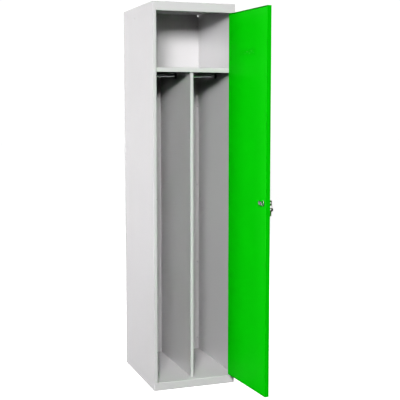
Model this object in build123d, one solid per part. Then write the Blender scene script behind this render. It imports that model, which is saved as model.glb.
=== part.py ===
from build123d import *
import os
from math import cos, radians, sin

# One-door steel clothes locker with a hat shelf and a clean/dirty divider.
# Millimetres. The origin is on the floor at the centre of the carcass, +X is to the right as
# seen by the user, -Y is the front and +Z is up. The door is written standing open.

# ---- driving dimensions -------------------------------------------------------------------
WIDTH = 400.0  # over the side panels
DEPTH = 500.0  # front of the rails to back of the back panel
HEIGHT = 1800.0  # floor to top
SHEET = 0.8  # steel sheet
BEND = 1.6  # outer radius of every fold
GLIDE_LIFT = 3.0  # steel edge above the floor

TOP_RAIL = 40.0  # height of the rail above the door
BASE_TOP = 40.0  # floor to the upper face of the base panel
RAIL_LIP = 24.0  # return of the top rail that carries the upper hinge
BASE_RAIL_LIP = 14.0  # stiffening return under the base rail
UPSTAND = 15.0  # flanges of the top, base, shelf and divider
STILE = 16.0  # front face of the lock-side stile
NOSE = 3.5  # front face of the hinge-side fold
NOSE_CLEARANCE = 1.0  # hinge-side fold to the shelf and the base flanges
STOP_LIP = 8.0  # door stop standing out of the lock-side stile
REAR_FLANGE = 20.0  # side panel behind the back compartment corner
FOOT_FLANGE = 18.0  # side panel turned in under the locker
RELIEF_R = 6.0  # corner relief of the folded trays

HAT_SPACE = 254.0  # underside of the top rail to the hat shelf
SHELF_CLEARANCE = 2.6  # door stop to the front of the shelf
SHELF_FRONT = 20.0  # folded front edge of the shelf
SHELF_LIP = 10.0
DIVIDER_STEP_BACK = 13.0  # front of the shelf to front of the divider
DIVIDER_CHANNEL = 15.0  # width of the divider's folded front edge

COAT_RAIL_D = 16.0
COAT_RAIL_WALL = 1.2
COAT_RAIL_DROP = 29.0  # shelf's upper face to the axis of the coat rail
COAT_RAIL_Y = 0.0
SOCKET_D = 24.0
SOCKET_LENGTH = 8.0
SOCKET_FLOOR = 2.0
SOCKET_FIT = 0.1  # radial play of the rail in its socket

PAINT_HOLE_D = 8.0  # hangs the left side panel on the paint line's hook
PAINT_HOLE_Y = 48.0
PAINT_HOLE_DOWN = 52.0  # below the top of the locker

DRAIN_HOLE_D = 9.0  # lets the wash bath out of the two upper rear corners
DRAIN_HOLE_INSET = 4.5  # from the inside of the corners

DOOR_THICK = 20.0
DOOR_GAP = 3.0  # above and below the door
SKIN_GAP = 4.0  # open slot above and below the door's inner skin
DOOR_EDGE_GAP = 2.0  # beside the lock stile
HINGE_EDGE_GAP = 2.5  # beside the hinge-side fold
DOOR_OPEN = 94.0  # degrees that the door stands open
PIVOT_INSET = 5.5  # hinge axis from the door's front face and from its side
STOP_CLEARANCE = 1.6  # door's back to the stop, taken up by the buffers

PIN_D = 5.0
PIN_HEAD_D = 7.6
PIN_HEAD_T = 2.0
PIN_ENGAGE = 9.0  # pin past the door gap
BUSH_D = 8.0
BUSH_FLANGE_D = 10.0
BUSH_DEPTH = 8.0
RUNNING = 0.05  # radial play of pin in bush, plug in lock
AXIAL_PLAY = 0.3
FIXED_PLAY = 0.02  # radial play of a fixed pin or stem in its hole

BUFFER_D = 6.0
BUFFER_INSET = 0.5  # buffer to the free edge of the stop lip
BUFFER_STEM_D = 3.0
BUFFER_DOME = 1.2
BUFFER_AT = (0.08, 0.5, 0.92)  # along the height of the door

LOCK_INSET = 24.0  # lock axis from the free edge of the door
LOCK_RISE = 6.0  # lock axis above the middle of the door
LOCK_BARREL_D = 19.0
LOCK_BARREL_PAST = 10.0  # barrel past the door's back
LOCK_HEAD_D = 26.0
LOCK_HEAD_T = 3.0
LOCK_NUT_AF = 24.0
LOCK_NUT_T = 5.0
PLUG_D = 14.0
PLUG_PROUD = 0.5
KEYWAY_W = 2.6
KEYWAY_H = 8.4
KEYWAY_DEPTH = 24.0
CAM_T = 2.4
CAM_W = 18.0
CAM_REACH = 38.0
CAM_CRANK = 4.0
CAM_CRANK_FROM = 15.0
CAM_CRANK_TO = 20.0
CAM_SCREW_AF = 10.0
CAM_SCREW_T = 4.0
CAM_STUD_D = 6.0
WASHER_D = 14.0
WASHER_T = 1.0

KEY_T = 2.2
KEY_BLADE_H = 7.6
KEY_BLADE_IN = 22.0
KEY_SHOULDER = 1.5  # bow from the plug's face
KEY_BOW_H = 24.5
KEY_BOW_L = 16.0
KEY_HOLE_R = 3.5
KEY_HOLE_FROM_END = 6.0
RING_R = 12.0
RING_WIRE_R = 0.9
RING_PLAY = 0.35  # wire to the edge of the key's hole
SPARE_BLADE = 20.0

VENT_R = 4.5
VENT_DOWN = 180.0  # top of the door to the first row
VENT_PITCH = 41.0
VENT_ROW = 8.5
INNER_VENTS = (4, 3, 4)  # holes in each row of the inner skin
OUTER_VENTS = (3, 4, 3)  # set between those of the inner skin, so nobody sees in

GLIDE_D = 18.0
GLIDE_STEM_D = 8.0
GLIDE_STEM = 6.0
GLIDE_BARB_D = 10.5
GLIDE_BARB_T = 2.0
GLIDE_INSET_Y = 25.0

RIVET_D = 4.0
RIVET_HEAD_D = 8.0
RIVET_HEAD_T = 1.2
RIVET_TAIL_D = 6.0
RIVET_TAIL_T = 2.0
RIVET_ROWS = 5

# ---- places worked out from them ----------------------------------------------------------
FRONT = -DEPTH / 2
BACK = DEPTH / 2
INNER_X = WIDTH / 2 - SHEET  # inner face of a side panel
BACK_INNER = BACK - SHEET  # inner face of the back panel
FLANGE_INNER = BACK_INNER - SHEET  # inner face of the side panels' rear flanges
RAIL_Z = HEIGHT - TOP_RAIL
SHELF_TOP = RAIL_Z - HAT_SPACE
DOOR_BACK = FRONT + DOOR_THICK
STOP_Y = DOOR_BACK + STOP_CLEARANCE  # front face of the door stop
SHELF_FRONT_Y = STOP_Y + SHEET + SHELF_CLEARANCE
SHELF_UNDER = SHELF_TOP - SHEET
DIVIDER_FRONT_Y = SHELF_FRONT_Y + DIVIDER_STEP_BACK
DIVIDER_LEFT = -DIVIDER_CHANNEL / 2
NOSE_END_Y = SHELF_FRONT_Y - NOSE_CLEARANCE  # rear edge of the hinge-side fold
DOOR_LEFT = -WIDTH / 2 + STILE + DOOR_EDGE_GAP
DOOR_RIGHT = WIDTH / 2 - NOSE - HINGE_EDGE_GAP
DOOR_LOW = BASE_TOP + DOOR_GAP
DOOR_HIGH = RAIL_Z - DOOR_GAP
PIVOT_X = DOOR_RIGHT - PIVOT_INSET
PIVOT_Y = FRONT + PIVOT_INSET
LOCK_X = DOOR_LEFT + LOCK_INSET
LOCK_Z = (DOOR_LOW + DOOR_HIGH) / 2 + LOCK_RISE
BARREL_END = DOOR_BACK + LOCK_BARREL_PAST
CAM_BACK = BARREL_END + RUNNING + CAM_T
PLUG_FACE = FRONT - LOCK_HEAD_T - PLUG_PROUD
BOW_START = PLUG_FACE - KEY_SHOULDER
BOW_END = BOW_START - KEY_BOW_L
KEY_HOLE_Y = BOW_END + KEY_HOLE_FROM_END
RING_TOP_Z = LOCK_Z - KEY_HOLE_R + RING_WIRE_R + RING_PLAY
COAT_RAIL_Z = SHELF_TOP - COAT_RAIL_DROP
DIVIDER_RIGHT_FACE = DIVIDER_LEFT + SHEET
PAINT_HOLE_Z = HEIGHT - PAINT_HOLE_DOWN
DRAIN_HOLE_X = INNER_X - DRAIN_HOLE_INSET
DRAIN_HOLE_Z = HEIGHT - SHEET - DRAIN_HOLE_INSET


# ---- helpers ------------------------------------------------------------------------------
def block(x, y, z):
    """A box from its low and high coordinates."""
    size = [high - low for low, high in (x, y, z)]
    return Pos(*[(low + high) / 2 for low, high in (x, y, z)]) * Box(*size)


def rod(radius, start, end):
    """A cylinder between two points that differ along one axis."""
    line = Vector(*end) - Vector(*start)
    plane = Plane(origin=start, z_dir=line.normalized())
    return extrude(plane * Circle(radius), line.length)


def hexagon(across, start, end):
    """A hexagonal prism between two points."""
    line = Vector(*end) - Vector(*start)
    plane = Plane(origin=start, z_dir=line.normalized())
    return extrude(plane * RegularPolygon(across / 2, 6, major_radius=False), line.length)


def folded(points, low, high):
    """Sheet folded along a plan path of its mid-line, from one height to another."""
    path = FilletPolyline(*points, radius=BEND - SHEET / 2)
    return Pos(0, 0, low) * extrude(trace(path, line_width=SHEET), high - low)


def tray(x, y, z, open_up):
    """A shallow folded tray, open upwards or downwards."""
    outer = block(x, y, z)
    inner_z = (z[0] + SHEET, z[1] + SHEET) if open_up else (z[0] - SHEET, z[1] - SHEET)
    inner = block([x[0] + SHEET, x[1] - SHEET], [y[0] + SHEET, y[1] - SHEET], inner_z)
    face_z = z[0] if open_up else z[1]
    inner_face_z = inner_z[0] if open_up else inner_z[1]
    outer = fillet(outer.edges().filter_by_position(Axis.Z, face_z, face_z), BEND)
    floor = inner.edges().filter_by_position(Axis.Z, inner_face_z, inner_face_z)
    return outer - fillet(floor, BEND - SHEET)


def mirrored(shape):
    return mirror(shape, Plane.YZ)


# ---- carcass ------------------------------------------------------------------------------
def rivet_places():
    """(x, z) of the rivets up one rear flange."""
    low, high = BASE_TOP + 4 * UPSTAND, HEIGHT - 4 * UPSTAND
    step = (high - low) / (RIVET_ROWS - 1)
    x = WIDTH / 2 - REAR_FLANGE / 2
    return [(side * x, low + n * step) for side in (-1, 1) for n in range(RIVET_ROWS)]


def rivet_holes():
    return [rod(RIVET_D / 2, (x, FLANGE_INNER - 1, z), (x, BACK + 1, z)) for x, z in rivet_places()]


def side_shell(front_path):
    """One side panel, drawn on the left: rear flange, wall, front fold and foot flange."""
    middle = SHEET / 2
    wall_x = -WIDTH / 2 + middle
    flange_y = BACK_INNER - middle
    rear = [(-WIDTH / 2 + REAR_FLANGE, flange_y), (wall_x, flange_y)]
    panel = folded(rear + [(wall_x, FRONT + middle)] + front_path, GLIDE_LIFT, HEIGHT)
    inside = [-INNER_X, WIDTH]
    everywhere = [FRONT - 1, BACK + 1]
    panel -= block(inside, everywhere, [RAIL_Z, HEIGHT])
    panel -= block(inside, everywhere, [GLIDE_LIFT, BASE_TOP])
    flange_zone = [BACK_INNER - BEND - SHEET, BACK_INNER]
    panel -= block(inside, flange_zone, [BASE_TOP, BASE_TOP + UPSTAND + SHEET])
    foot_y = [FRONT + BASE_RAIL_LIP + SHEET, BACK_INNER - BEND]
    panel += block([-WIDTH / 2, -WIDTH / 2 + FOOT_FLANGE], foot_y, [GLIDE_LIFT, GLIDE_LIFT + SHEET])
    for y in glide_rows():
        hole = rod(GLIDE_STEM_D / 2 + FIXED_PLAY, (-glide_x(), y, 0), (-glide_x(), y, BASE_TOP))
        panel -= hole
    return panel


def left_side_panel():
    """Lock side: a stile with a return and the lip that stops the door."""
    middle = SHEET / 2
    return_x = -WIDTH / 2 + STILE - middle
    stop_y = STOP_Y + middle
    path = [
        (return_x, FRONT + middle),
        (return_x, stop_y),
        (return_x + middle + STOP_LIP, stop_y),
    ]
    panel = side_shell(path)
    panel -= rod(PAINT_HOLE_D / 2, (-WIDTH, PAINT_HOLE_Y, PAINT_HOLE_Z), (0, PAINT_HOLE_Y, PAINT_HOLE_Z))
    for z in buffer_heights():
        panel -= rod(BUFFER_STEM_D / 2 + FIXED_PLAY, (buffer_x(), STOP_Y - 1, z), (buffer_x(), STOP_Y + 2, z))
    return cut_rivets(panel)


def right_side_panel():
    """Hinge side: a narrow folded nose beside the door."""
    middle = SHEET / 2
    return_x = -WIDTH / 2 + NOSE - middle
    path = [(return_x, FRONT + middle), (return_x, NOSE_END_Y)]
    return cut_rivets(mirrored(side_shell(path)))


def cut_rivets(panel):
    for hole in rivet_holes():
        panel -= hole
    return panel


def cut_drains(panel):
    """Holes through the two upper rear corners."""
    for x in (-DRAIN_HOLE_X, DRAIN_HOLE_X):
        panel -= rod(DRAIN_HOLE_D / 2, (x, FLANGE_INNER - BEND, DRAIN_HOLE_Z), (x, BACK + 1, DRAIN_HOLE_Z))
    return panel


def back_panel():
    panel = block([-WIDTH / 2, WIDTH / 2], [BACK_INNER, BACK], [GLIDE_LIFT, HEIGHT])
    return cut_drains(cut_rivets(panel))


def back_panel_rivets():
    rivets = []
    for x, z in rivet_places():
        shank = rod(RIVET_D / 2, (x, FLANGE_INNER, z), (x, BACK, z))
        head = rod(RIVET_HEAD_D / 2, (x, BACK, z), (x, BACK + RIVET_HEAD_T, z))
        head = fillet(head.edges().group_by(Axis.Y)[-1], RIVET_HEAD_T * 0.8)
        tail = rod(RIVET_TAIL_D / 2, (x, FLANGE_INNER - RIVET_TAIL_T, z), (x, FLANGE_INNER, z))
        rivets.append(head + shank + fillet(tail.edges().group_by(Axis.Y)[0], RIVET_TAIL_T / 2))
    return rivets


def corner_reliefs(z):
    """Round reliefs where a tray's side and rear flanges meet."""
    inset = RELIEF_R / 2
    y = BACK_INNER - inset
    return [
        rod(RELIEF_R, (side * (INNER_X - inset), y, z[0]), (side * (INNER_X - inset), y, z[1]))
        for side in (-1, 1)
    ]


def top_panel():
    """Flat top with the front rail and a lip that carries the upper hinge."""
    panel = tray([-INNER_X, INNER_X], [FRONT, BACK_INNER], [RAIL_Z, HEIGHT], open_up=False)
    behind = [FRONT + SHEET, BACK_INNER + 1]
    panel -= block([-WIDTH, WIDTH], behind, [RAIL_Z - 1, HEIGHT - UPSTAND])
    lip_y = [FRONT, FRONT + RAIL_LIP]
    panel += block([-INNER_X, INNER_X], lip_y, [RAIL_Z, RAIL_Z + SHEET])
    panel -= rod(BUSH_D / 2 + FIXED_PLAY, (PIVOT_X, PIVOT_Y, RAIL_Z - 1), (PIVOT_X, PIVOT_Y, RAIL_Z + 2))
    for relief in corner_reliefs([HEIGHT - UPSTAND - 1, HEIGHT - 2 * BEND]):
        panel -= relief
    return cut_drains(panel)


def base_panel():
    """Base tray: rail folded down in front, flanges up at the sides and the back."""
    low = BASE_TOP - SHEET
    x = [-INNER_X, INNER_X]
    flanges_from = SHELF_FRONT_Y
    panel = tray(x, [flanges_from - 2 * SHEET, BACK_INNER], [low, BASE_TOP + UPSTAND - SHEET], open_up=True)
    panel -= block([-WIDTH, WIDTH], [flanges_from - 4 * SHEET, flanges_from], [0, HEIGHT])
    apron = folded_apron(x, flanges_from)
    panel += apron
    panel -= rod(BUSH_D / 2 + FIXED_PLAY, (PIVOT_X, PIVOT_Y, low - 1), (PIVOT_X, PIVOT_Y, BASE_TOP + 1))
    for relief in corner_reliefs([low - 1, BASE_TOP + UPSTAND + 1]):
        panel -= relief
    return panel


def folded_apron(x, back_y):
    """Front of the base: floor sheet, rail down and return back."""
    middle = SHEET / 2
    path = [
        (back_y, BASE_TOP - middle),
        (FRONT + middle, BASE_TOP - middle),
        (FRONT + middle, GLIDE_LIFT + middle),
        (FRONT + BASE_RAIL_LIP, GLIDE_LIFT + middle),
    ]
    profile = trace(FilletPolyline(*path, radius=BEND - middle), line_width=SHEET)
    plane = Plane(origin=(x[0], 0, 0), x_dir=(0, 1, 0), z_dir=(1, 0, 0))
    return extrude(plane * profile, x[1] - x[0])


def hat_shelf():
    """Shelf tray, open downwards, with a hemmed front edge."""
    low = SHELF_TOP - SHELF_FRONT
    shelf = tray([-INNER_X, INNER_X], [SHELF_FRONT_Y, FLANGE_INNER], [low, SHELF_TOP], open_up=False)
    shelf -= block([-WIDTH, WIDTH], [SHELF_FRONT_Y + SHEET, BACK], [low - 1, SHELF_TOP - UPSTAND])
    lip_y = [SHELF_FRONT_Y, SHELF_FRONT_Y + SHELF_LIP]
    shelf += block([-INNER_X, INNER_X], lip_y, [low, low + SHEET])
    for side in (-1, 1):
        corner_x = sorted((side * (INNER_X - BEND), side * WIDTH))
        shelf -= block(corner_x, [FLANGE_INNER - BEND, BACK], [low, SHELF_TOP + 1])
    return shelf


def centre_divider():
    """Upright between the two hanging spaces, with a folded front channel and flanges."""
    middle = SHEET / 2
    sheet_x = DIVIDER_LEFT + middle
    front_y = DIVIDER_FRONT_Y + middle
    path = [
        (DIVIDER_LEFT - UPSTAND, BACK_INNER - middle),
        (sheet_x, BACK_INNER - middle),
        (sheet_x, front_y),
        (-sheet_x, front_y),
        (-sheet_x, DIVIDER_FRONT_Y + DIVIDER_CHANNEL),
    ]
    divider = folded(path, BASE_TOP, SHELF_UNDER)
    wide = [-WIDTH, WIDTH]
    divider -= block(wide, [FLANGE_INNER - SHEET, BACK], [0, BASE_TOP + UPSTAND])
    divider -= block([-WIDTH, DIVIDER_LEFT], [0, BACK], [0, BASE_TOP + UPSTAND])
    shelf_flange = [SHELF_TOP - UPSTAND, HEIGHT]
    divider -= block(wide, [FLANGE_INNER - BEND, BACK], shelf_flange)
    divider -= block([-WIDTH, DIVIDER_LEFT], [0, BACK], shelf_flange)
    foot_y = [DIVIDER_FRONT_Y + UPSTAND, FLANGE_INNER - UPSTAND]
    foot_x = [DIVIDER_LEFT - UPSTAND, DIVIDER_LEFT + middle]
    divider += block(foot_x, foot_y, [BASE_TOP, BASE_TOP + SHEET])
    return divider + block(foot_x, foot_y, [SHELF_UNDER - SHEET, SHELF_UNDER])


# ---- coat rails ---------------------------------------------------------------------------
def rail_spans():
    return {"left": (-INNER_X, DIVIDER_LEFT), "right": (DIVIDER_RIGHT_FACE, INNER_X)}


def coat_rail(side):
    low, high = rail_spans()[side]
    ends = [(x, COAT_RAIL_Y, COAT_RAIL_Z) for x in (low + SOCKET_FLOOR, high - SOCKET_FLOOR)]
    return rod(COAT_RAIL_D / 2, *ends) - rod(COAT_RAIL_D / 2 - COAT_RAIL_WALL, *ends)


def coat_rail_sockets(side):
    """A flanged cup at each end of the rail."""
    cups = []
    low, high = rail_spans()[side]
    for wall, inward in ((low, 1), (high, -1)):
        point = lambda x: (wall + inward * x, COAT_RAIL_Y, COAT_RAIL_Z)
        flange = rod(SOCKET_D / 2, point(0), point(SOCKET_FLOOR))
        cup = rod(COAT_RAIL_D / 2 + SOCKET_FIT + SOCKET_FLOOR, point(0), point(SOCKET_LENGTH))
        hole = rod(COAT_RAIL_D / 2 + SOCKET_FIT, point(SOCKET_FLOOR), point(SOCKET_LENGTH + 1))
        cups.append(flange + cup - hole)
    return cups


# ---- glides and buffers -------------------------------------------------------------------
def glide_x():
    return WIDTH / 2 - FOOT_FLANGE / 2


def glide_rows():
    return (FRONT + GLIDE_INSET_Y, BACK - GLIDE_INSET_Y)


def floor_glide(x, y):
    """Plastic foot pressed through the foot flange."""
    pad = rod(GLIDE_D / 2, (x, y, 0), (x, y, GLIDE_LIFT))
    pad = fillet(pad.edges().group_by(Axis.Z)[0], GLIDE_LIFT / 3)
    shelf_top = GLIDE_LIFT + SHEET
    stem = rod(GLIDE_STEM_D / 2, (x, y, GLIDE_LIFT), (x, y, shelf_top + GLIDE_STEM))
    barb = rod(GLIDE_BARB_D / 2, (x, y, shelf_top), (x, y, shelf_top + GLIDE_BARB_T))
    return pad + stem + chamfer(barb.edges().group_by(Axis.Z)[-1], GLIDE_BARB_T / 2)


def buffer_x():
    return -WIDTH / 2 + STILE + STOP_LIP - BUFFER_INSET - BUFFER_D / 2


def buffer_heights():
    return [DOOR_LOW + share * (DOOR_HIGH - DOOR_LOW) for share in BUFFER_AT]


def door_buffer(z):
    """Rubber button on the stop lip, trimmed where the stile's return stands."""
    x = buffer_x()
    dome = rod(BUFFER_D / 2, (x, STOP_Y - BUFFER_DOME, z), (x, STOP_Y, z))
    dome = fillet(dome.edges().group_by(Axis.Y)[0], BUFFER_DOME * 0.6)
    stem = rod(BUFFER_STEM_D / 2, (x, STOP_Y, z), (x, STOP_Y + SHEET + 1, z))
    return dome + stem


# ---- hinges -------------------------------------------------------------------------------
def hinge_bush(seat_z, up):
    """Flanged nylon bush; its flange fills the gap beside the door."""
    at = lambda z: (PIVOT_X, PIVOT_Y, seat_z + up * z)
    bush = rod(BUSH_D / 2, at(0), at(BUSH_DEPTH))
    bush += rod(BUSH_FLANGE_D / 2, at(-(DOOR_GAP - AXIAL_PLAY)), at(0))
    return bush - rod(PIN_D / 2 + RUNNING, at(-DOOR_GAP), at(BUSH_DEPTH + 1))


def hinge_pin(door_z, up):
    """Headed pin fixed in the door's end flange."""
    at = lambda z: (PIVOT_X, PIVOT_Y, door_z + up * z)
    pin = rod(PIN_D / 2, at(-SHEET - PIN_HEAD_T), at(DOOR_GAP + PIN_ENGAGE))
    tip = pin.edges().group_by(Axis.Z)[-1 if up > 0 else 0]
    pin = chamfer(tip, PIN_D / 8)
    return pin + rod(PIN_HEAD_D / 2, at(-SHEET - PIN_HEAD_T), at(-SHEET))


# ---- door, drawn closed -------------------------------------------------------------------
def vent_places(rows):
    """(x, z) of the staggered vent holes near the top of one skin of the door."""
    middle = (DOOR_LEFT + DOOR_RIGHT) / 2
    places = []
    for row, count in enumerate(rows):
        z = DOOR_HIGH - VENT_DOWN - row * VENT_ROW
        places += [(middle + (n - (count - 1) / 2) * VENT_PITCH, z) for n in range(count)]
    return places


def cut_vents(panel, rows):
    for x, z in vent_places(rows):
        panel -= rod(VENT_R, (x, FRONT - 1, z), (x, DOOR_BACK + 1, z))
    return panel


def door_outer_panel():
    outer = block([DOOR_LEFT, DOOR_RIGHT], [FRONT, DOOR_BACK], [DOOR_LOW, DOOR_HIGH])
    inner = block(
        [DOOR_LEFT + SHEET, DOOR_RIGHT - SHEET],
        [FRONT + SHEET, DOOR_BACK + SHEET],
        [DOOR_LOW + SHEET, DOOR_HIGH - SHEET],
    )
    outer = fillet(outer.edges().group_by(Axis.Y)[0], BEND)
    panel = outer - fillet(inner.edges().group_by(Axis.Y)[0], BEND - SHEET)
    hole = LOCK_BARREL_D / 2 + FIXED_PLAY
    panel -= rod(hole, (LOCK_X, FRONT - 1, LOCK_Z), (LOCK_X, FRONT + 2, LOCK_Z))
    for z in (DOOR_LOW, DOOR_HIGH):
        panel -= rod(PIN_D / 2 + FIXED_PLAY, (PIVOT_X, PIVOT_Y, z - 2), (PIVOT_X, PIVOT_Y, z + 2))
    return cut_vents(panel, OUTER_VENTS)


def door_inner_panel():
    """Flat second skin that closes the back of the door between its long flanges."""
    end_gap = SHEET + SKIN_GAP
    panel = block(
        [DOOR_LEFT + SHEET, DOOR_RIGHT - SHEET],
        [DOOR_BACK - SHEET, DOOR_BACK],
        [DOOR_LOW + end_gap, DOOR_HIGH - end_gap],
    )
    hole = LOCK_BARREL_D / 2 + FIXED_PLAY
    panel -= rod(hole, (LOCK_X, DOOR_BACK - 2, LOCK_Z), (LOCK_X, DOOR_BACK + 1, LOCK_Z))
    return cut_vents(panel, INNER_VENTS)


# ---- lock ---------------------------------------------------------------------------------
def on_lock(y):
    return (LOCK_X, y, LOCK_Z)


def lock_body():
    head = rod(LOCK_HEAD_D / 2, on_lock(FRONT - LOCK_HEAD_T), on_lock(FRONT))
    head = fillet(head.edges().group_by(Axis.Y)[0], LOCK_HEAD_T * 0.6)
    barrel = rod(LOCK_BARREL_D / 2, on_lock(FRONT), on_lock(BARREL_END))
    bore = rod(PLUG_D / 2 + RUNNING, on_lock(PLUG_FACE - 1), on_lock(BARREL_END + 1))
    return head + barrel - bore


def lock_nut():
    nut = hexagon(LOCK_NUT_AF, on_lock(DOOR_BACK), on_lock(DOOR_BACK + LOCK_NUT_T))
    return nut - rod(LOCK_BARREL_D / 2 + FIXED_PLAY, on_lock(DOOR_BACK - 1), on_lock(DOOR_BACK + LOCK_NUT_T + 1))


def lock_plug():
    plug = rod(PLUG_D / 2, on_lock(PLUG_FACE), on_lock(BARREL_END))
    stud = rod(CAM_STUD_D / 2, on_lock(BARREL_END), on_lock(CAM_BACK + WASHER_T + CAM_SCREW_T))
    half_w, half_h = KEYWAY_W / 2, KEYWAY_H / 2
    keyway = block(
        [LOCK_X - half_w, LOCK_X + half_w],
        [PLUG_FACE - 1, PLUG_FACE + KEYWAY_DEPTH],
        [LOCK_Z - half_h, LOCK_Z + half_h],
    )
    return plug + stud - keyway


def lock_cam():
    """Cranked cam, pointing at the hinge side while the lock is open."""
    near, far = CAM_BACK - CAM_T, CAM_BACK
    side = [
        (-CAM_W / 2, near),
        (CAM_CRANK_FROM, near),
        (CAM_CRANK_TO, near - CAM_CRANK),
        (CAM_REACH, near - CAM_CRANK),
        (CAM_REACH, far - CAM_CRANK),
        (CAM_CRANK_TO, far - CAM_CRANK),
        (CAM_CRANK_FROM, far),
        (-CAM_W / 2, far),
    ]
    outline = make_face(Polyline(*side, close=True))
    strip = Pos(LOCK_X, 0, LOCK_Z - CAM_W / 2) * extrude(outline, CAM_W)
    plan = Plane(origin=on_lock(near - CAM_CRANK - 1), z_dir=(0, 1, 0), x_dir=(1, 0, 0))
    length = CAM_REACH + CAM_W / 2
    shape = plan * Pos(length / 2 - CAM_W / 2, 0) * SlotOverall(length, CAM_W)
    cam = strip & extrude(shape, CAM_CRANK + CAM_T + 2)
    return cam - rod(CAM_STUD_D / 2 + FIXED_PLAY, on_lock(near - 1), on_lock(far + 1))


def cam_washer():
    ends = on_lock(CAM_BACK), on_lock(CAM_BACK + WASHER_T)
    return rod(WASHER_D / 2, *ends) - rod(CAM_STUD_D / 2 + FIXED_PLAY, *ends)


def cam_nut():
    ends = on_lock(CAM_BACK + WASHER_T), on_lock(CAM_BACK + WASHER_T + CAM_SCREW_T)
    return hexagon(CAM_SCREW_AF, *ends) - rod(CAM_STUD_D / 2 + FIXED_PLAY, *ends)


# ---- keys ---------------------------------------------------------------------------------
def key_blank(blade):
    """A flat key in plan: u along the blade from the shoulder, v across; the bow is at negative u."""
    bow = Pos(-KEY_BOW_L / 2, 0) * RectangleRounded(KEY_BOW_L, KEY_BOW_H, KEY_BOW_L * 0.4)
    half = KEY_BLADE_H / 2
    notch = blade / 7
    teeth = [(blade - (n + 0.5) * notch, half - 1.6 * (n % 2)) for n in range(5)]
    top = [(blade, -half + 2), (blade, half - 2)] + teeth
    edge = [(-2, -half), (blade - 2, -half)] + top + [(blade - 5.5 * notch, half), (-2, half)]
    sketch = bow + make_face(Polyline(*edge, close=True))
    sketch -= Pos(-KEY_BOW_L + KEY_HOLE_FROM_END, 0) * Circle(KEY_HOLE_R)
    return sketch


def door_key():
    """Key in the lock, its bow standing upright."""
    plane = Plane(origin=(LOCK_X - KEY_T / 2, BOW_START, LOCK_Z), x_dir=(0, 1, 0), z_dir=(1, 0, 0))
    return extrude(plane * key_blank(KEY_SHOULDER + KEY_BLADE_IN), KEY_T)


def key_ring():
    """Wire ring hanging in the key's bow."""
    centre = Pos(LOCK_X, KEY_HOLE_Y, RING_TOP_Z - RING_R)
    return centre * Rot(90, 0, 0) * Torus(RING_R, RING_WIRE_R)


def spare_key():
    """Second key hanging from the bottom of the ring."""
    hole_z = RING_TOP_Z - 2 * RING_R + RING_WIRE_R + RING_PLAY - KEY_HOLE_R
    bow_root = hole_z - (KEY_BOW_L - KEY_HOLE_FROM_END)
    plane = Plane(origin=(LOCK_X - KEY_T / 2, KEY_HOLE_Y, bow_root), x_dir=(0, 0, -1), z_dir=(1, 0, 0))
    return extrude(plane * key_blank(SPARE_BLADE), KEY_T)


# ---- assembly -----------------------------------------------------------------------------
def carcass_parts():
    parts = {
        "left_side_panel": left_side_panel(),
        "right_side_panel": right_side_panel(),
        "back_panel": back_panel(),
        "back_panel_rivets": Compound(children=back_panel_rivets()),
        "top_panel": top_panel(),
        "base_panel": base_panel(),
        "hat_shelf": hat_shelf(),
        "centre_divider": centre_divider(),
        "upper_hinge_bush": hinge_bush(RAIL_Z, 1),
        "lower_hinge_bush": hinge_bush(BASE_TOP, -1),
    }
    for side in ("left", "right"):
        parts[f"{side}_coat_rail"] = coat_rail(side)
        parts[f"{side}_coat_rail_sockets"] = Compound(children=coat_rail_sockets(side))
        x = glide_x() if side == "right" else -glide_x()
        for end, y in zip(("front", "rear"), glide_rows()):
            parts[f"{end}_{side}_floor_glide"] = floor_glide(x, y)
    for level, z in zip(("lower", "middle", "upper"), buffer_heights()):
        parts[f"{level}_door_buffer"] = door_buffer(z)
    return parts


def door_parts():
    return {
        "door_outer_panel": door_outer_panel(),
        "door_inner_panel": door_inner_panel(),
        "upper_hinge_pin": hinge_pin(DOOR_HIGH, 1),
        "lower_hinge_pin": hinge_pin(DOOR_LOW, -1),
        "lock_body": lock_body(),
        "lock_nut": lock_nut(),
        "lock_plug": lock_plug(),
        "lock_cam": lock_cam(),
        "cam_washer": cam_washer(),
        "cam_nut": cam_nut(),
        "door_key": door_key(),
        "key_ring": key_ring(),
        "spare_key": spare_key(),
    }


def swung_open(shape):
    """Turns a door piece about the hinge axis, from closed to standing open."""
    hinge = Pos(PIVOT_X, PIVOT_Y, 0)
    return hinge * Rot(0, 0, DOOR_OPEN) * hinge.inverse() * shape


def main():
    os.makedirs("parts", exist_ok=True)
    pieces = carcass_parts()
    pieces.update({name: swung_open(shape) for name, shape in door_parts().items()})
    for name, shape in pieces.items():
        export_step(shape, f"parts/{name}.step")
    across = Vector(cos(radians(DOOR_OPEN)), sin(radians(DOOR_OPEN)), 0)
    outward = Vector(sin(radians(DOOR_OPEN)), -cos(radians(DOOR_OPEN)), 0)
    pivot = Vector(PIVOT_X, PIVOT_Y, 0)

    def opened(x, y, z):
        return pivot + across * (x - PIVOT_X) - outward * (y - PIVOT_Y) + Vector(0, 0, z)

    print("hinge axis through", pivot, "lock axis through", opened(LOCK_X, FRONT, LOCK_Z), "along", outward)
    print("key ring axis through", opened(LOCK_X, KEY_HOLE_Y, RING_TOP_Z), "along", across)


main()
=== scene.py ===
# %% Load the locker
import math

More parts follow.
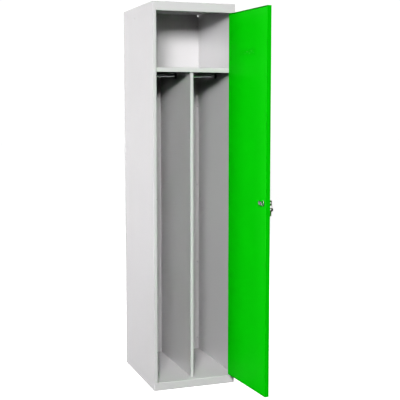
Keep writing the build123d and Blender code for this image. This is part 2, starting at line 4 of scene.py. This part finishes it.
import bpy
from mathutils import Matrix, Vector


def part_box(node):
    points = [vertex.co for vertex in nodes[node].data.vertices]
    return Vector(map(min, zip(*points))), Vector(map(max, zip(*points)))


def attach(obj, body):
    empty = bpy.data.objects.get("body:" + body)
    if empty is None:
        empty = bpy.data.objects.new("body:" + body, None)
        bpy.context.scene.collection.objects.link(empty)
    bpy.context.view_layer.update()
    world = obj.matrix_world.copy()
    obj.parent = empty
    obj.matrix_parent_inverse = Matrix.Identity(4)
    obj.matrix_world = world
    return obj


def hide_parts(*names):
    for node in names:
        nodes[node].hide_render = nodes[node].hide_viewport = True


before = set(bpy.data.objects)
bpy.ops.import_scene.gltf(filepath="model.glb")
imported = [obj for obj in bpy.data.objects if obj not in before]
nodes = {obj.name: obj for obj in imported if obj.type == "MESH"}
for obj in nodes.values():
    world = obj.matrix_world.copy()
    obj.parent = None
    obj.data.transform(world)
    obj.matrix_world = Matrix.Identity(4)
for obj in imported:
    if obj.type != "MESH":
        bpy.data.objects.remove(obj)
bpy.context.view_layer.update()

# %% [markdown]
# A finish is a small graph of nodes. Written out link by link it is long and hard to read, so
# this class lets the maths look like maths: a wrapped socket can be added to, scaled or
# subtracted, and each operator drops in the Math node that does it. Everything that isn't a sum
# comes from one method, which takes a node's type, its settings and what goes into its sockets.
# The reflected forms of the operators are there so that a plain number may come first.

# %% A pencil for drawing finishes
class Value:
    """A node socket that can be used in a sum."""

    def __init__(self, finish, socket):
        self.finish = finish
        self.socket = socket

    def _maths(self, operation, *values):
        node = self.finish.node("ShaderNodeMath", {"operation": operation}, dict(enumerate(values)))
        return node[0]

    def __add__(self, other):
        return self._maths("ADD", self, other)

    def __sub__(self, other):
        return self._maths("SUBTRACT", self, other)

    def __mul__(self, other):
        return self._maths("MULTIPLY", self, other)

    def __rsub__(self, other):
        return self._maths("SUBTRACT", other, self)

    __radd__ = __add__
    __rmul__ = __mul__


class Finish:
    """One material, with a shader that is already wired to its output."""

    def __init__(self, name, **sockets):
        self.material = bpy.data.materials.new(name)
        self.material.use_nodes = True
        self.nodes = self.material.node_tree.nodes
        self.links = self.material.node_tree.links
        self.shader = self.nodes["Principled BSDF"]
        for socket, value in sockets.items():
            self.set(socket.replace("_", " "), value)

    def set(self, socket, value):
        """Gives one of the shader's sockets a plain value or a link."""
        names = {s.name.lower(): s for s in self.shader.inputs}
        self._give(names[socket.lower()], value)

    def _give(self, socket, value):
        if isinstance(value, Value):
            self.links.new(value.socket, socket)
        else:
            socket.default_value = value

    def node(self, kind, settings=None, inputs=None):
        """Adds any node and returns its outputs as values."""
        node = self.nodes.new(kind)
        for name, value in (settings or {}).items():
            setattr(node, name, value)
        for name, value in (inputs or {}).items():
            self._give(node.inputs[name], value)
        return [Value(self, output) for output in node.outputs]

    def place(self):
        """Where a point is on the object, in metres."""
        return self.node("ShaderNodeTexCoord")[3]

    def noise(self, size, detail=2.0, roughness=0.5, stretch=(1, 1, 1)):
        """Soft random blotches about as large as size, in metres."""
        scaled = self.node(
            "ShaderNodeVectorMath", {"operation": "MULTIPLY"}, {0: self.place(), 1: stretch}
        )[0]
        found = self.node(
            "ShaderNodeTexNoise",
            {},
            {"Vector": scaled, "Scale": 1 / size, "Detail": detail, "Roughness": roughness},
        )
        return found[0]

    def blend(self, share, colour_a, colour_b):
        """A colour between two, by a share from 0 to 1."""
        node = self.node(
            "ShaderNodeMix", {"data_type": "RGBA"}, {0: share, 6: colour_a, 7: colour_b}
        )
        return node[2]

    def bump(self, height, depth, strength=1.0):
        """Tips the surface to and fro by a height, as deep as depth in metres."""
        normal = self.node(
            "ShaderNodeBump", {}, {"Height": height, "Distance": depth, "Strength": strength}
        )[0]
        self.set("Normal", normal)


def wear(finish, *names):
    """Gives CAD pieces a finish."""
    for name in names:
        piece = nodes[name]
        piece.data.materials.clear()
        piece.data.materials.append(finish.material)


print("the pencil is ready")

# %% [markdown]
# The sheets are powder coated: dry paint powder is melted onto the steel in an oven. Seen from
# an arm's length it is even and satin, and close to it has the shallow dimples called orange
# peel, two or three millimetres across, with a finer grain over them. The colour barely varies,
# so the finish is mostly in how rough and how wavy the surface is.

# %% Powder coat, in any colour
def powder_coat(name, deep, pale, gloss=0.42, shine=0.4):
    """Satin paint with orange peel and a very slight change of shade over a panel."""
    paint = Finish(name, IOR=1.5, Specular_IOR_Level=shine)
    cloud_size, peel_size, grain_size, patch_size = 0.35, 0.0026, 0.0006, 0.02
    cloud = paint.noise(cloud_size, detail=3.0)
    paint.set("Base Color", paint.blend(cloud, deep, pale))
    peel = paint.noise(peel_size, detail=1.0)
    grain = paint.noise(grain_size, detail=1.0)
    paint.bump(peel * 0.8 + grain * 0.2, 0.00006, 0.6)
    paint.set("Roughness", gloss + paint.noise(patch_size) * 0.08 - 0.04)
    return paint


grey = powder_coat("grey powder coat", (0.447, 0.438, 0.445, 1), (0.487, 0.477, 0.485, 1))
green = powder_coat("green powder coat", (0.0, 0.405, 0.0, 1), (0.0, 0.445, 0.0, 1), shine=0.06)
wear(grey, "left_side_panel", "right_side_panel", "back_panel", "top_panel", "base_panel")
wear(grey, "hat_shelf", "centre_divider")
wear(green, "door_outer_panel", "door_inner_panel")
print("painted", grey.material.name, "and", green.material.name)

# %% [markdown]
# The rails, rivets and the lock's nut and cam are steel with a thin coat of bright zinc, drawn
# lengthways, so its grain is stretched along X. The lock's face is polished chrome, and the keys
# are nickel that pockets and fingers have dulled. One function makes all three: a metal is a
# colour with no diffuse part, and what tells them apart is how rough the surface is.

# %% Bare metals
def bare_metal(name, colour, roughness, streak=(1, 1, 1)):
    """A metal with a fine grain, which a streak below 1 draws out along an axis."""
    metal = Finish(name, Base_Color=colour, Metallic=1.0)
    grain = metal.noise(0.0008, detail=3.0, stretch=streak)
    metal.set("Roughness", roughness + grain * 0.18 - 0.09)
    metal.bump(grain, 0.00001, 0.5)
    return metal


zinc = bare_metal("bright zinc", (0.64, 0.65, 0.67, 1), 0.22, (0.15, 1, 1))
chrome = bare_metal("chrome", (0.68, 0.68, 0.69, 1), 0.12)
nickel = bare_metal("worn nickel", (0.46, 0.42, 0.36, 1), 0.36)
zinc_pieces = ["left_coat_rail", "right_coat_rail", "back_panel_rivets", "upper_hinge_pin", "lower_hinge_pin",
               "lock_nut", "lock_cam", "cam_washer", "cam_nut"]
chrome_pieces = ["lock_body", "lock_plug"]
nickel_pieces = ["door_key", "key_ring", "spare_key"]
wear(zinc, *zinc_pieces)
wear(chrome, *chrome_pieces)
wear(nickel, *nickel_pieces)
print("metals on", len(zinc_pieces + chrome_pieces + nickel_pieces), "pieces")

# %% [markdown]
# The floor glides, the sockets that hold the coat rails and the hinge bushes are moulded nylon,
# and the three bumpers that quieten the door are rubber. A mould leaves a fine, even texture.
# Rubber scatters light more than nylon does, so it is the same finish with a higher roughness.

# %% Plastic and rubber
def moulded(name, colour, roughness):
    """A dull moulded surface with a fine even texture."""
    plastic = Finish(name, Base_Color=colour, Specular_IOR_Level=0.4)
    grain = plastic.noise(0.0007, detail=2.0)
    plastic.set("Roughness", roughness + grain * 0.15 - 0.07)
    plastic.bump(grain, 0.00003, 0.5)
    return plastic


nylon = moulded("black nylon", (0.018, 0.018, 0.018, 1), 0.5)
rubber = moulded("black rubber", (0.022, 0.022, 0.022, 1), 0.75)
nylon_pieces = [name for name in nodes if "glide" in name or "socket" in name or "bush" in name]
rubber_pieces = [name for name in nodes if "buffer" in name]
wear(nylon, *nylon_pieces)
wear(rubber, *rubber_pieces)
print("nylon on", len(nylon_pieces), "and rubber on", len(rubber_pieces), "pieces")

# %% [markdown]
# The lock's small parts and the keys came in with knife-sharp edges. A real edge, once deburred,
# is a little round and catches a thin line of light. The corners that lie on the same spot are
# joined first, so that the bevel can see which faces meet, and only the steep edges are rounded.
# Both steps are live modifiers, so the pieces' own meshes stay as they are.

# %% Soften the edges
same_spot = 0.00001


def round_edges(piece, width, steep=50):
    """Rounds the edges of a piece that turn by more than some degrees, by a width in metres."""
    bevel = piece.modifiers.new("round edges", "BEVEL")
    bevel.width = width
    bevel.segments = 2
    bevel.limit_method = "ANGLE"
    bevel.angle_limit = math.radians(steep)


def soften(width, *names):
    """Joins the corners of CAD pieces and rounds their steep edges."""
    for name in names:
        join = nodes[name].modifiers.new("join corners", "WELD")
        join.merge_threshold = same_spot
        round_edges(nodes[name], width)


lock_edge, key_edge = 0.00025, 0.00035
soften(lock_edge, "lock_nut", "lock_cam", "cam_washer", "cam_nut", "lock_plug")
soften(key_edge, "door_key", "spare_key")
print("softened the lock by", lock_edge * 1000, "mm and the keys by", key_edge * 1000, "mm")

# %% [markdown]
# The keys hang on a split ring: two turns of flat spring wire, side by side, that a key is wound
# onto. One small square of wire is drawn at the ring's radius, the screw modifier turns it twice
# round while it steps sideways by its own width, and the two cut ends are closed with a face.
# Then the coil is rounded at the edges and turned to hang where the plain ring did.

# %% Wire of the split key ring
low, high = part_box("key_ring")
middle = (low + high) / 2
outer_radius = (high.z - low.z) / 2
wire_wide, wire_thick, wire_edge = 0.0016, 0.0008, 0.00012
turn_step = wire_thick * 1.08
bpy.ops.object.select_all(action="DESELECT")
wire_radius = outer_radius - wire_wide / 2
bpy.ops.mesh.primitive_plane_add(size=1, location=(wire_radius, 0, 0), rotation=(math.pi / 2, 0, 0))
ring = bpy.context.object
ring.name = "split_key_ring"
ring.scale = (wire_wide, wire_thick, 1)
bpy.ops.object.transform_apply(location=True, rotation=True, scale=True)
bpy.ops.object.mode_set(mode="EDIT")
bpy.ops.mesh.select_all(action="SELECT")
bpy.ops.mesh.delete(type="ONLY_FACE")
bpy.ops.object.mode_set(mode="OBJECT")
print("wire outline of", len(ring.data.edges), "edges at radius", round(wire_radius * 1000, 2), "mm")

# %% [markdown]
# Each turn stops a little short of a full circle, which leaves the gap where a key is pushed in.
# The screw modifier makes an open tube, so its two ends are filled, and the faces are turned
# outwards before the ring is stood upright beside the bow of the key.

# %% Coil the split key ring
turn_angle, steps_in_turn, key_ring_yaw = 352, 56, 4
coil = ring.modifiers.new("coil", "SCREW")
coil.axis = "Z"
coil.angle = math.radians(turn_angle)
coil.screw_offset = turn_step
coil.iterations = 2
coil.steps = coil.render_steps = steps_in_turn
bpy.ops.object.modifier_apply(modifier="coil")
bpy.ops.object.mode_set(mode="EDIT")
bpy.ops.mesh.select_all(action="SELECT")
bpy.ops.mesh.remove_doubles(threshold=0.000001)
bpy.ops.mesh.fill_holes(sides=8)
bpy.ops.mesh.select_all(action="SELECT")
bpy.ops.mesh.normals_make_consistent(inside=False)
bpy.ops.object.mode_set(mode="OBJECT")
ring.location = (0, 0, -turn_step)
bpy.ops.object.transform_apply(location=True, rotation=True, scale=True)
ring.rotation_euler = (0, math.pi / 2, math.radians(key_ring_yaw))
ring.location = middle
bpy.ops.object.transform_apply(location=True, rotation=True, scale=True)
round_edges(ring, wire_edge)
ring.data.materials.append(nickel.material)
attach(ring, "keys")
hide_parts("key_ring")
print("ring of", len(ring.data.polygons), "faces")

# %% [markdown]
# The trays are spot welded to the side panels. Each weld leaves a shallow round dimple with a
# faint raised rim, painted over, in a row level with the flange behind it. One is modelled: a
# flat disc whose middle is inset and pushed in, then bevelled. Copies go along both sides, level with
# the top, the shelf and the floor of the locker.

# %% One spot weld
weld_radius, weld_proud = 0.0032, 0.0002
rim_wide, rim_slope, dimple_deep, rim_edge = 0.0009, 0.0005, 0.00018, 0.00012
bpy.ops.object.select_all(action="DESELECT")
bpy.ops.mesh.primitive_cylinder_add(vertices=28, radius=weld_radius, depth=2 * weld_proud)
weld = bpy.context.object
weld.name = "spot weld"
bpy.ops.object.mode_set(mode="EDIT")
bpy.ops.mesh.select_mode(type="FACE")
bpy.ops.mesh.select_all(action="DESELECT")
bpy.ops.object.mode_set(mode="OBJECT")
for face in weld.data.polygons:
    face.select = face.normal.z > 0.9
bpy.ops.object.mode_set(mode="EDIT")
bpy.ops.mesh.inset(thickness=rim_wide, depth=0.0)
bpy.ops.mesh.inset(thickness=rim_slope, depth=-dimple_deep)
bpy.ops.object.mode_set(mode="OBJECT")
round_edges(weld, rim_edge, steep=40)
bpy.ops.object.modifier_apply(modifier="round edges")
bpy.ops.object.shade_smooth()
print("one weld of", len(weld.data.polygons), "faces")

# %% [markdown]
# The rows' heights come from the pieces that the welds hold: the top, the shelf and the base. Every
# copy gets a mesh of its own, and those of one side are joined into one piece that moves with the
# carcass.

# %% Rows of spot welds
below_top, below_shelf, below_base = 0.008, 0.008, 0.007
rows = [
    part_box("left_side_panel")[1].z - below_top,
    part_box("hat_shelf")[1].z - below_shelf,
    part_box("base_panel")[1].z - below_base,
]
welds_in_row, first_weld, weld_pitch = 5, -0.19, 0.1


def weld_rows(side, panel):
    """Copies the weld along the three rows of one side panel, -1 for the left and 1 for the right."""
    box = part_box(panel)
    face_x = box[0].x if side < 0 else box[1].x
    marks = []
    for z in rows:
        for n in range(welds_in_row):
            mark = weld.copy()
            mark.data = weld.data.copy()
            bpy.context.scene.collection.objects.link(mark)
            mark.rotation_euler = (0, side * math.pi / 2, 0)
            mark.location = (face_x, first_weld + n * weld_pitch, z)
            marks.append(mark)
    bpy.ops.object.select_all(action="DESELECT")
    for mark in marks:
        mark.select_set(True)
    bpy.context.view_layer.objects.active = marks[0]
    bpy.ops.object.join()
    bpy.ops.object.transform_apply(location=True, rotation=True, scale=True)
    return marks[0]


for side, name in ((-1, "left_side"), (1, "right_side")):
    welds = weld_rows(side, name + "_panel")
    welds.name = name + "_spot_welds"
    welds.data.materials.append(grey.material)
    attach(welds, "locker")
    print(welds.name, len(welds.data.polygons), "faces")
bpy.data.objects.remove(weld)

# %% [markdown]
# The floor is one big pale sheet. To the eye it glows almost white, so that it runs into the
# background with no line between them. To the lamps it is a dull dark grey, because a white floor
# would throw light up into the compartments. A light path node tells the two apart, and a mix
# shader switches between them.

# %% Floor
bpy.ops.object.select_all(action="DESELECT")
bpy.ops.mesh.primitive_plane_add(size=60, location=(0, 0, 0))
floor = bpy.context.object
floor.name = "floor"
pale = Finish("pale floor", Base_Color=(0.5, 0.5, 0.5, 1), Roughness=0.9, Specular_IOR_Level=0.0,
              Emission_Color=(1, 1, 1, 1), Emission_Strength=0.95)
floor.data.materials.append(pale.material)
dull = pale.node("ShaderNodeBsdfDiffuse", {}, {"Color": (0.1, 0.1, 0.1, 1)})[0]
seen = pale.node("ShaderNodeLightPath")[0]
either = pale.node("ShaderNodeMixShader", {}, {0: seen, 1: dull})[0]
pale.links.new(pale.shader.outputs[0], either.socket.node.inputs[2])
pale.links.new(either.socket, pale.nodes["Material Output"].inputs["Surface"])
print("floor", floor.dimensions.x, "m across")

# %% [markdown]
# The air round the locker follows the same idea: white behind the object, but almost no light from
# it, so that the lamps alone decide where the compartments are dark.

# %% Air
air_seen, air_felt = 1.05, 0.03
world = bpy.data.worlds.new("air")
bpy.context.scene.world = world
world.use_nodes = True
air = world.node_tree
background = air.nodes["Background"]
background.inputs["Color"].default_value = (1, 1, 1, 1)
looking = air.nodes.new("ShaderNodeLightPath")
amount = air.nodes.new("ShaderNodeMix")
air.links.new(looking.outputs["Is Camera Ray"], amount.inputs[0])
amount.inputs[2].default_value = air_felt
amount.inputs[3].default_value = air_seen
air.links.new(amount.outputs[0], background.inputs["Strength"])
print("air", air_seen, "to the eye and", air_felt, "as light")

# %% [markdown]
# The lamps are softboxes: rectangles that shine from one side. A softbox is aimed by turning its
# -Z axis towards a point. The key lamp stands to the left of the front at head height, so the top
# rail's shadow falls on the back of the hat space. Its light doesn't weaken with distance, as if it
# came from much further away, so the back wall is as bright as the front rails.

# %% Softboxes
def softbox(name, place, aim, width, height, power):
    """A rectangular lamp at a place, facing a point."""
    lamp = bpy.data.lights.new(name, "AREA")
    lamp.shape = "RECTANGLE"
    lamp.size, lamp.size_y = width, height
    lamp.energy = power
    stand = bpy.data.objects.new(name, lamp)
    bpy.context.scene.collection.objects.link(stand)
    stand.location = place
    stand.rotation_euler = (Vector(aim) - Vector(place)).to_track_quat("-Z", "Y").to_euler()
    return stand


def from_azimuth(degrees, distance, height):
    """A place in front of the locker, turned to its left by an angle."""
    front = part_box("base_panel")[0].y
    turn = math.radians(degrees)
    return (-distance * math.sin(turn), front - distance * math.cos(turn), height)


def far_reaching(stand):
    """Keeps a lamp's light the same at any distance, as from a much larger and further one."""
    lamp = stand.data
    lamp.use_nodes = True
    parts = lamp.node_tree.nodes
    steady = parts.new("ShaderNodeLightFalloff")
    steady.inputs["Strength"].default_value = 1.0
    lamp.node_tree.links.new(steady.outputs["Constant"], parts["Emission"].inputs["Strength"])


locker_middle = (0, 0, 0.9)
far_reaching(softbox("key", from_azimuth(23.5, 3.0, 2.17), (0, 0, 1.0), 0.8, 0.45, 15.6))
softbox("left fill", (-3.2, 0.15, 1.2), locker_middle, 1.6, 2.4, 70)
softbox("left rear fill", (-3.0, 2.3, 1.2), locker_middle, 1.2, 2.4, 75)
softbox("rear fill", (0.3, 3.4, 1.4), locker_middle, 1.6, 2.4, 78)
softbox("right fill", (3.2, 0.1, 1.3), locker_middle, 1.6, 2.4, 85)
softbox("top fill", (0.2, 1.6, 4.4), (0, 0, 1.8), 2.0, 2.0, 90)

# %% [markdown]
# The right wall of the hat space faces away from the key lamp, and in a real room it is lit by all
# that stands to the left. A small lamp inside the hat space does that work. Its cone is narrow, so
# the top of the wall stays in the rail's shadow, and light linking keeps it off every other piece.

# %% Glow in the hat space
glow_from, glow_to = (-0.17, 0.0, 1.59), (0.2, 0.0, 1.578)
shelf_glow = softbox("hat space glow", glow_from, glow_to, 0.44, 0.13, 0.18)
shelf_glow.data.spread = math.radians(58)
shelf_glow.visible_camera = False
glow_on = bpy.data.collections.new("lit by the hat space glow")
glow_on.objects.link(nodes["right_side_panel"])
shelf_glow.light_linking.receiver_collection = glow_on

# %% [markdown]
# The camera stands to the left and looks a little down. A long lens keeps the tall sides nearly
# parallel, and a slight shift of the frame helps them stay upright. The standard view keeps the
# paint's green as it is, and a curve deepens only the darkest greys, as a studio print has them.

# %% Camera
camera_data = bpy.data.cameras.new("camera")
camera_data.lens = 78.29
camera_data.sensor_width = 36
camera_data.shift_y = -0.025
camera = bpy.data.objects.new("camera", camera_data)
bpy.context.scene.collection.objects.link(camera)
camera.location = (-1.347, -4.048, 1.317)
looks_down, turned_right = 5.33, 19.88
camera.rotation_euler = (math.radians(90 - looks_down), 0, math.radians(-turned_right))
bpy.context.scene.camera = camera
look = bpy.context.scene.view_settings
look.view_transform = "Standard"
look.use_curve_mapping = True
toe = ((0.03, 0.016), (0.06, 0.036), (0.11, 0.088), (0.2, 0.2), (0.5, 0.5))
curve = look.curve_mapping.curves[3]
for before, after in toe:
    curve.points.new(before, after)
look.curve_mapping.update()
print("camera", round(camera.location.length, 2), "m away with a lens of", round(camera_data.lens, 1), "mm")
